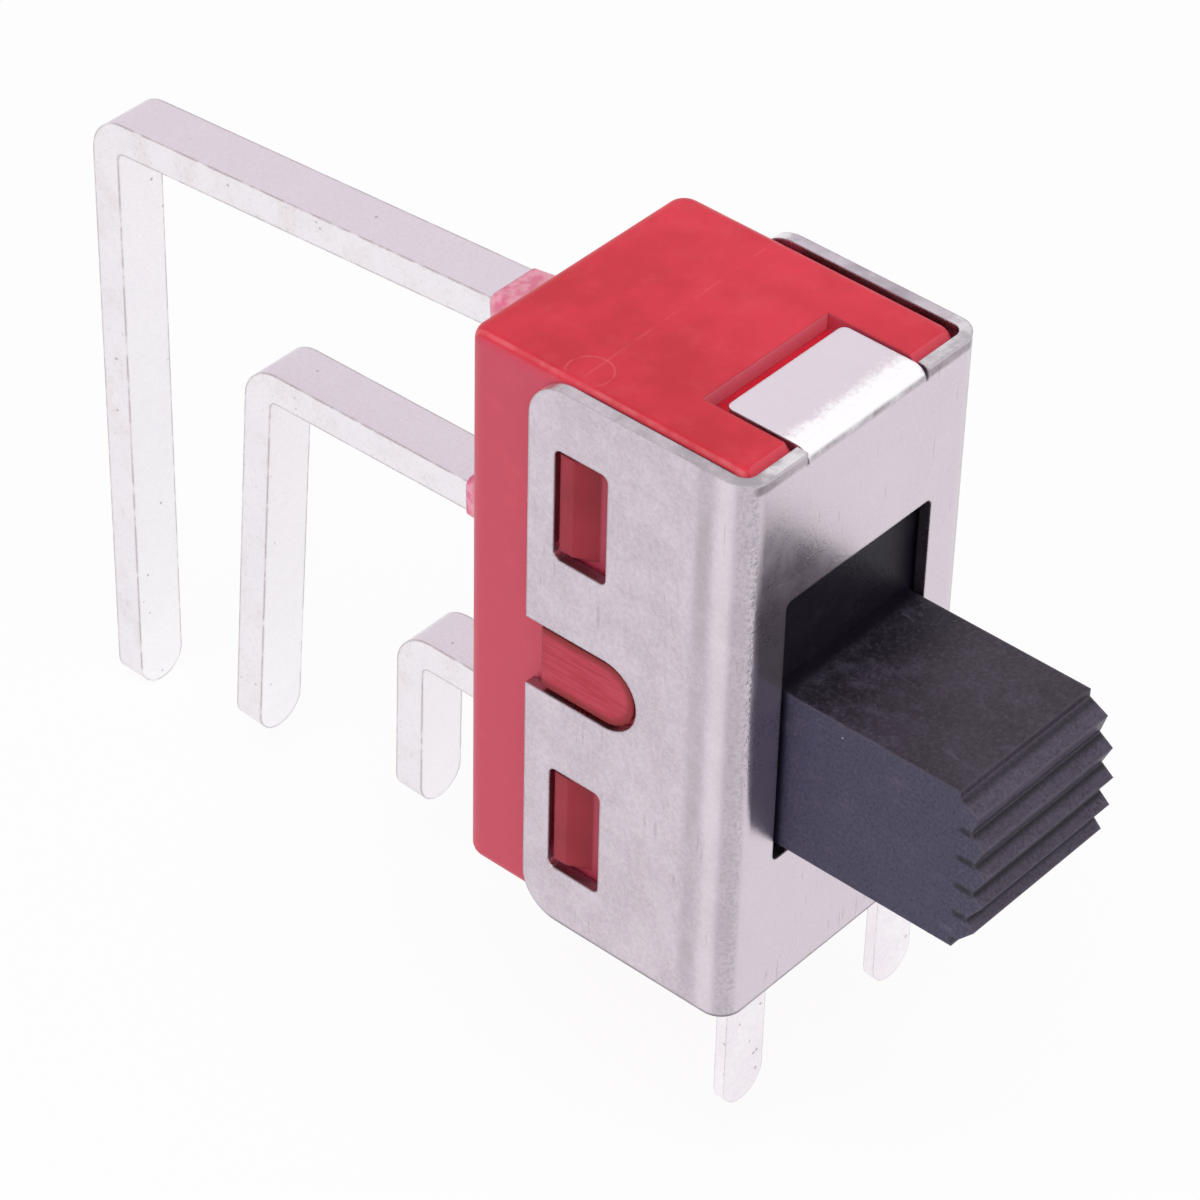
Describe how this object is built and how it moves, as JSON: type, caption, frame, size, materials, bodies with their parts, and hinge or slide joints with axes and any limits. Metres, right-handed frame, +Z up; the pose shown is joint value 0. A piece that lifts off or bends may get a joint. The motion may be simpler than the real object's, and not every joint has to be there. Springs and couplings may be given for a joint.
{
  "type": "slide switch",
  "caption": "Miniature upright slide switch: ribbed black handle in a folded steel frame round a red moulded case, with flat bent solder terminals behind and board legs in front.",
  "frame": {"origin": "middle of the front panel's outer face, at the frame's bottom edge, between the two board legs", "axes": "+Y from the front panel to the back, along the terminals; +Z up, along the slide; +X across the switch"},
  "size_m": [0.0066, 0.0239, 0.0168],
  "materials": {
    "frame_steel": "satin plated sheet steel",
    "tinned_steel": "bright tin over steel",
    "red_moulding": "satin red moulding",
    "black_moulding": "satin black moulding",
    "brass": "turned brass",
    "spring_steel": "drawn spring wire",
    "plated_contact": "silver plate over copper alloy",
    "sealing_resin": "cured sealing resin"
  },
  "bodies": {
    "body": {"frame": "frame_steel", "bracket": "tinned_steel", "case": "red_moulding", "terminal_upper": "plated_contact", "terminal_common": "plated_contact", "terminal_lower": "plated_contact", "terminal_seal": "sealing_resin"},
    "slider": {"actuator": "black_moulding", "plunger_spring": "spring_steel"},
    "detent": {"plunger": "brass"},
    "rocker": {"rocker_contact": "plated_contact"}
  },
  "joints": [
    {"name": "actuator_slide", "type": "slide", "parent": "body", "child": "slider", "axis": [0, 0, 1], "range_m": [0, 0.00184]},
    {"name": "plunger_press", "type": "slide", "parent": "slider", "child": "detent", "axis": [0, -1, 0], "range_m": [0, 0.0003], "stiffness_N_per_m": 600, "springref_m": -0.001, "deforming": ["plunger_spring"]},
    {"name": "rocker_tilt", "type": "hinge", "parent": "body", "child": "rocker", "pos_m": [0, 0.0045, 0.00635], "axis": [1, 0, 0], "range_deg": [-12.1, 0]}
  ],
  "couplings": [
    {"joint": "rocker_tilt", "follows": "actuator_slide", "rad_per_m": -113.83}
  ]
}
